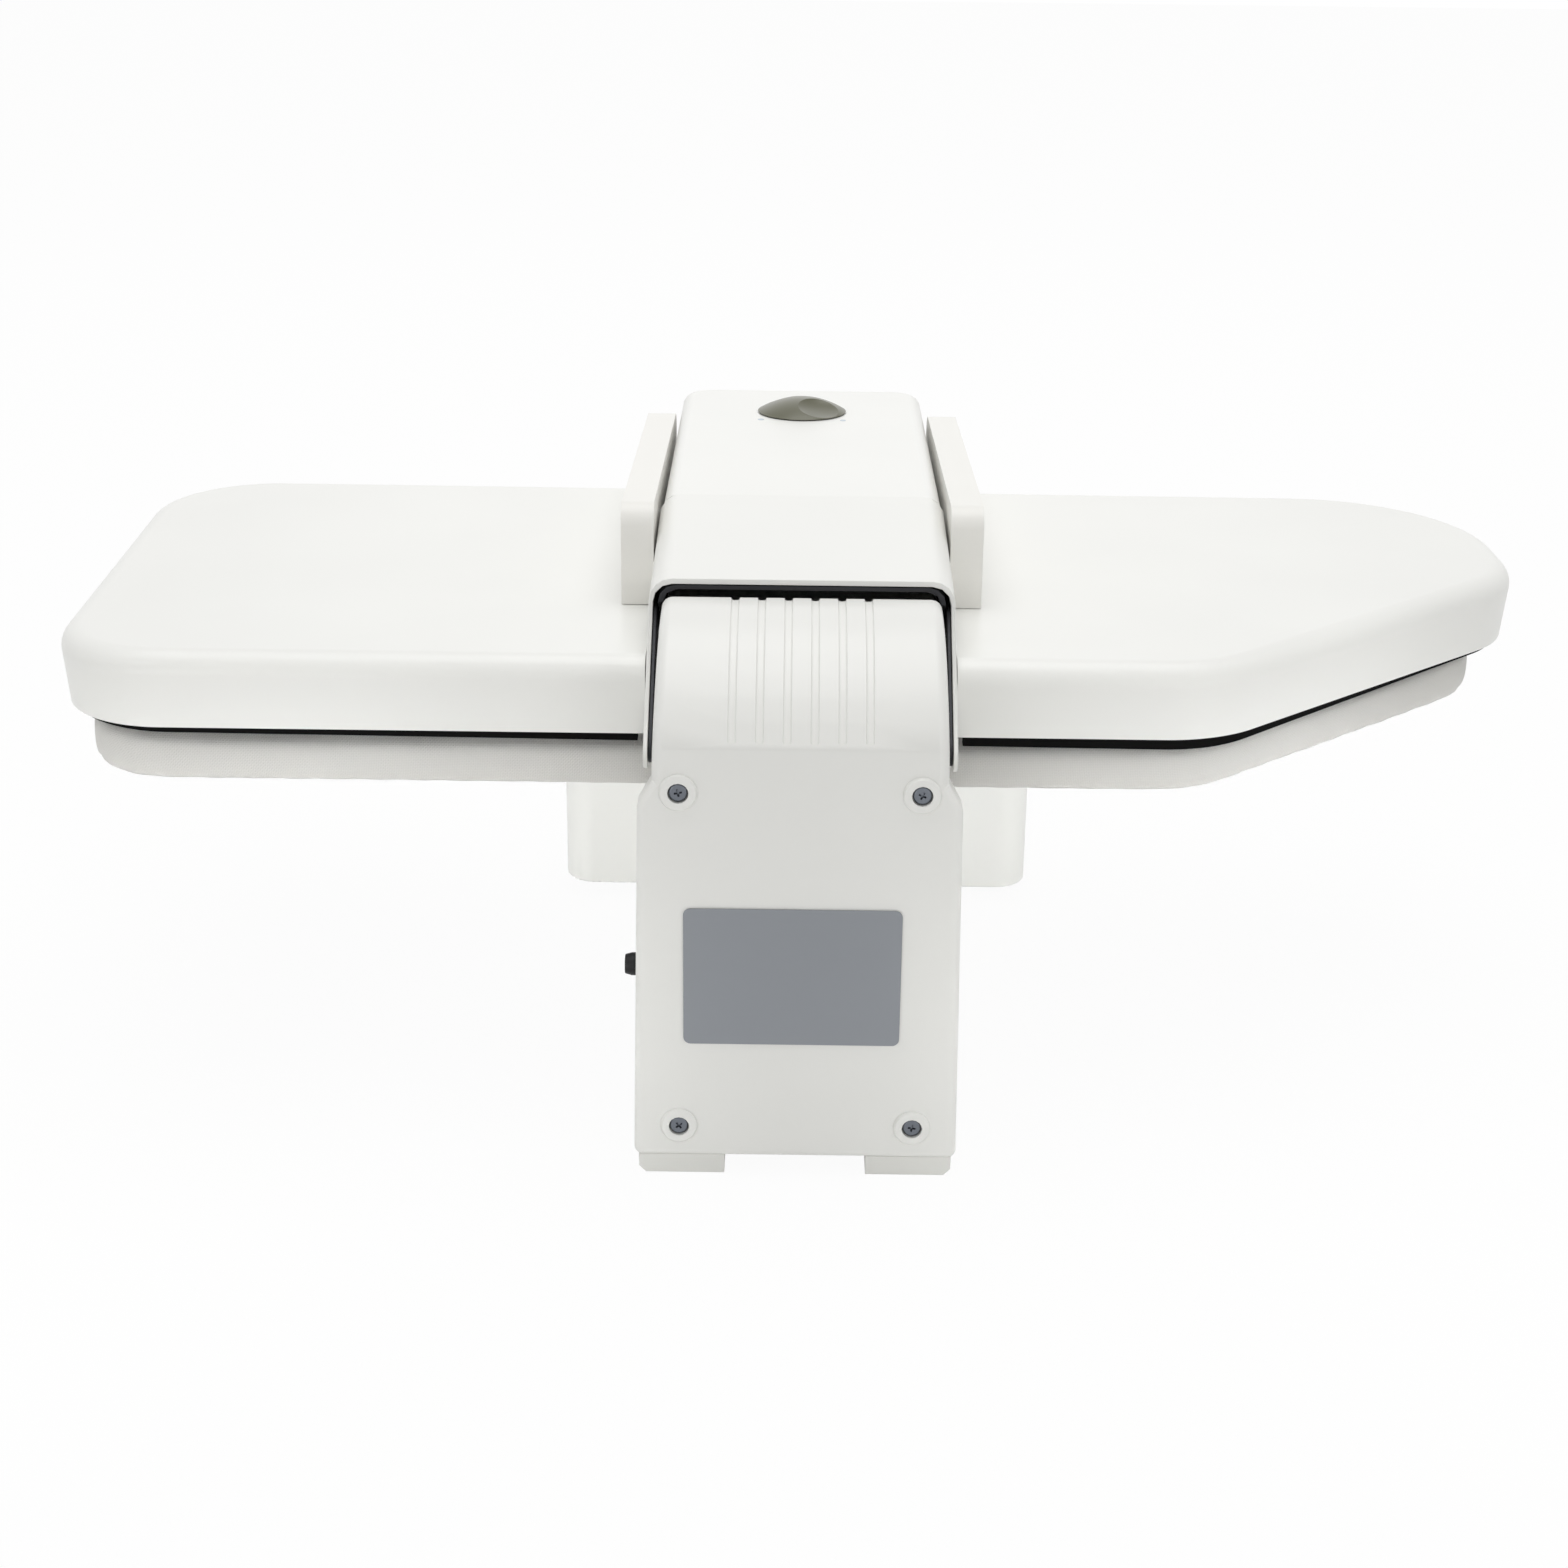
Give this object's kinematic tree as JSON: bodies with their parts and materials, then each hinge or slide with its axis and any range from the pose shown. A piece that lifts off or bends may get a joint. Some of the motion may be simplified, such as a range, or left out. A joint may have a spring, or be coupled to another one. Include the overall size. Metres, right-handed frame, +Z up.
{
  "type": "steam ironing press",
  "caption": "Tabletop steam ironing press: padded board with a pointed end, heated steam plate on a sprung hinged arm, rear column, temperature dial, steam button and removable water tank.",
  "frame": {"origin": "middle of the press on the table", "axes": "+X along the board, away from its pointed end; -Y towards the handle, dial and water tank; +Y towards the column; +Z up"},
  "size_m": [0.6714, 0.4156, 0.2631],
  "materials": {
    "white_plastic": "glossy moulded shell",
    "satin_plastic": "satin moulded",
    "black_plastic": "fine moulded grain",
    "dark_steel": "black zinc",
    "bright_steel": "plain bright",
    "plate_coating": "cast, dark non-stick coating",
    "chamber_steel": "pressed sheet",
    "element_sheath": "tubular sheath",
    "ceramic": "ceramic body",
    "pan_steel": "zinc plated sheet",
    "silver_fabric": "metallised woven cover",
    "foam": "open-cell foam",
    "grey_plate": "bare film",
    "bush_brass": "turned",
    "foot_rubber": "plain",
    "tank_plastic": "clear grey-blue",
    "tank_lid_plastic": "grey-blue",
    "pump_blue": "moulded bobbin",
    "circuit_green": "varnished laminate",
    "dial_grey": "pearl grey",
    "thermostat_body": "ceramic body",
    "button_grey": "moulded",
    "lamp_power": "clear red lens",
    "lamp_ready": "clear green lens"
  },
  "bodies": {
    "base": {"chassis": "dark_steel", "column_frame": "dark_steel", "column_shell": "white_plastic", "rear_cover": "white_plastic", "cover_screw_1": "dark_steel", "cover_screw_2": "dark_steel", "cover_screw_3": "dark_steel", "cover_screw_4": "dark_steel", "rating_plate": "grey_plate", "pedestal": "white_plastic", "front_housing": "white_plastic", "rear_foot_left": "satin_plastic", "rear_foot_right": "satin_plastic", "front_foot_left": "foot_rubber", "front_foot_right": "foot_rubber", "board_bracket_rear": "bright_steel", "board_bracket_front": "bright_steel", "board_pan": "pan_steel", "board_foam": "foam", "board_cover": "silver_fabric", "hinge_bush_left": "bush_brass", "hinge_bush_right": "bush_brass", "spring_left": "bright_steel", "spring_right": "bright_steel", "spring_anchor": "bright_steel", "inlet_seat": "black_plastic", "water_pump": "pump_blue", "control_board": "circuit_green", "mains_switch": "black_plastic", "cord_grommet": "black_plastic"},
    "arm": {"hinge_shaft": "bright_steel", "spring_crank": "dark_steel", "hinge_plate_left": "dark_steel", "hinge_plate_right": "dark_steel", "arm_frame": "dark_steel", "arm_cover": "white_plastic", "control_box": "white_plastic", "box_base": "satin_plastic", "tilt_pin": "bright_steel", "thermostat": "thermostat_body", "lamp_power": "lamp_power", "lamp_ready": "lamp_ready"},
    "plate": {"hood": "white_plastic", "cradle": "white_plastic", "heating_plate": "plate_coating", "steam_chamber_lid": "chamber_steel", "heating_element": "element_sheath", "plate_spacer_1": "bright_steel", "plate_spacer_2": "bright_steel", "plate_spacer_3": "bright_steel", "plate_spacer_4": "bright_steel", "thermal_cutout": "ceramic"},
    "dial": {"temperature_dial": "dial_grey"},
    "steam": {"steam_button": "button_grey"},
    "power": {"power_button": "black_plastic"},
    "tank": {"water_tank": "tank_plastic", "tank_lid": "tank_lid_plastic", "tank_valve": "black_plastic"}
  },
  "joints": [
    {"name": "arm_hinge", "type": "hinge", "parent": "base", "child": "arm", "pos_m": [0.00703, 0.16515, 0.191], "axis": [-1, 0, 0], "range_deg": [0, 50], "deforming": ["spring_left", "spring_right"]},
    {"name": "plate_tilt", "type": "hinge", "parent": "arm", "child": "plate", "pos_m": [0.00703, 0.00115, 0.238], "axis": [-1, 0, 0], "range_deg": [0, 2.5]},
    {"name": "dial_turn", "type": "hinge", "parent": "arm", "child": "dial", "pos_m": [0.00703, -0.14885, 0.25394], "axis": [0, 0.0142, -0.9999], "range_deg": [0, 270]},
    {"name": "steam_press", "type": "slide", "parent": "arm", "child": "steam", "axis": [0, 1, 0], "range_m": [0, 0.003], "stiffness_N_per_m": 800},
    {"name": "power_press", "type": "slide", "parent": "base", "child": "power", "axis": [-1, 0, 0], "range_m": [0, 0.0025], "stiffness_N_per_m": 600},
    {"name": "tank_slide", "type": "slide", "parent": "base", "child": "tank", "axis": [0, -1, 0], "range_m": [0, 0.095]}
  ],
  "couplings": [
    {"joint": "plate_tilt", "follows": "arm_hinge", "ratio": 0.05}
  ]
}
